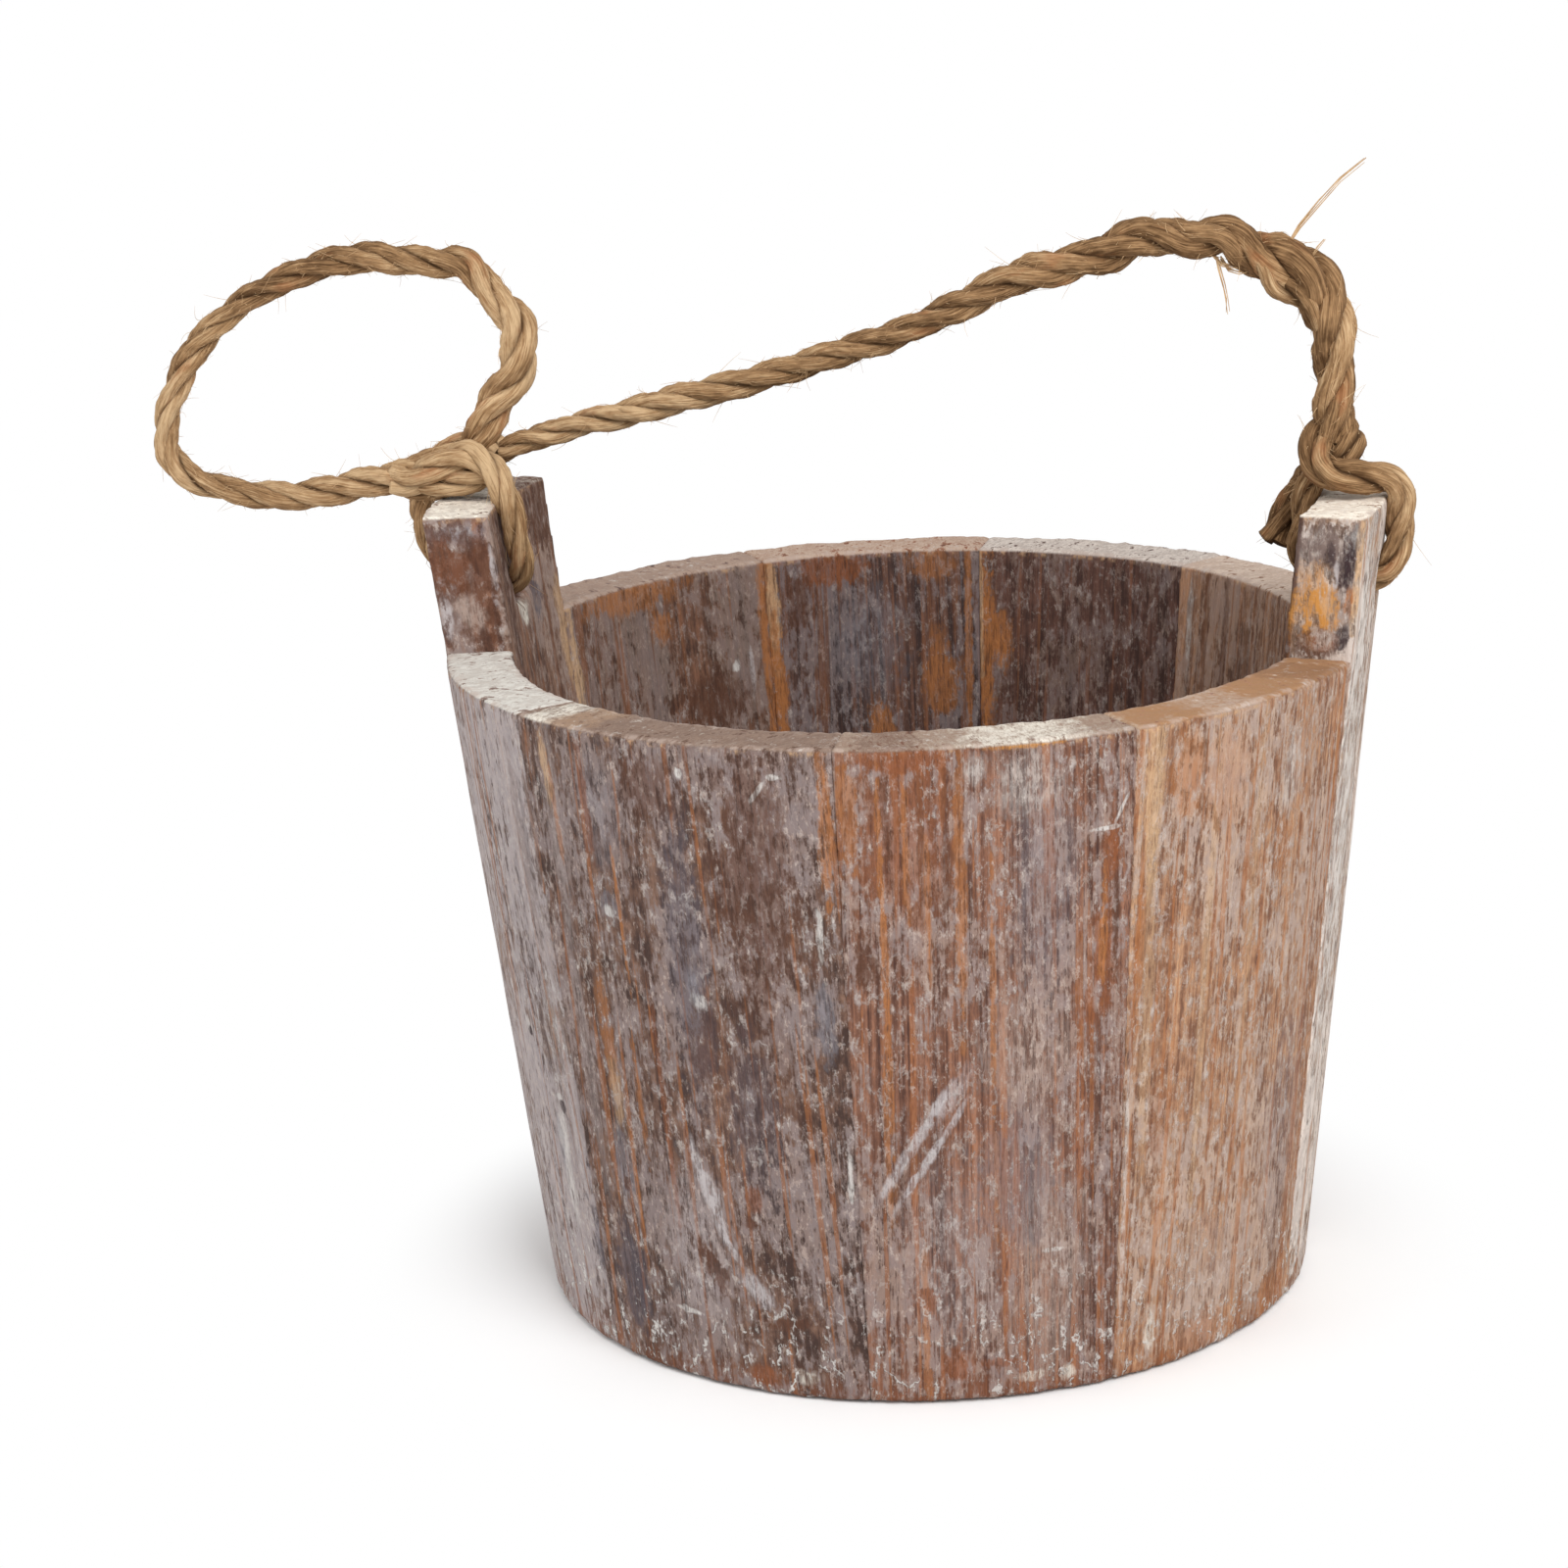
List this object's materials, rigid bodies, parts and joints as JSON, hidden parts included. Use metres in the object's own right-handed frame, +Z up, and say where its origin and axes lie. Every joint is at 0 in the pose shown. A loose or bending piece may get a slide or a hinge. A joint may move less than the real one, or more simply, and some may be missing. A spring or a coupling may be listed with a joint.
{
  "type": "wooden planter",
  "caption": "Tapered round bucket planter of upright wooden staves, with two raised ears and a knotted rope handle that swings.",
  "frame": {"origin": "centre of the bucket's outline on the ground", "axes": "+Z up; the two ears stand at +X and -X; the front faces -Y"},
  "size_m": [0.2819, 0.1998, 0.2319],
  "materials": {
    "stave_wood": "brown stain under a worn white wash",
    "ear_wood": "brown stain under a worn white wash, with bare patches",
    "floor_wood": "brown stain under a worn white wash",
    "peg_wood": "bare",
    "rope": "rough natural fibre"
  },
  "bodies": {
    "bucket": {"right_ear_stave": "ear_wood", "left_ear_stave": "ear_wood", "back_stave_1": "stave_wood", "back_stave_2": "stave_wood", "back_stave_3": "stave_wood", "back_stave_4": "stave_wood", "front_stave_1": "stave_wood", "front_stave_2": "stave_wood", "front_stave_3": "stave_wood", "front_stave_4": "stave_wood", "front_floor_board": "floor_wood", "middle_floor_board": "floor_wood", "back_floor_board": "floor_wood", "stave_pegs": "peg_wood", "floor_pegs": "peg_wood", "right_ear_loop": "rope", "left_ear_loop": "rope", "right_knot": "rope", "left_knot": "rope", "rope_tail": "rope"},
    "handle": {"rope_handle": "rope"},
    "loop": {"slack_loop": "rope"}
  },
  "joints": [
    {"name": "handle_swing", "type": "hinge", "parent": "bucket", "child": "handle", "pos_m": [0, 0, 0.1811], "axis": [1, 0, 0], "range_deg": [-95, 95]},
    {"name": "loop_swing", "type": "hinge", "parent": "bucket", "child": "loop", "pos_m": [-0.09035, 0, 0.1811], "axis": [0.9848, 0, 0.1736], "range_deg": [-90, 45]}
  ]
}
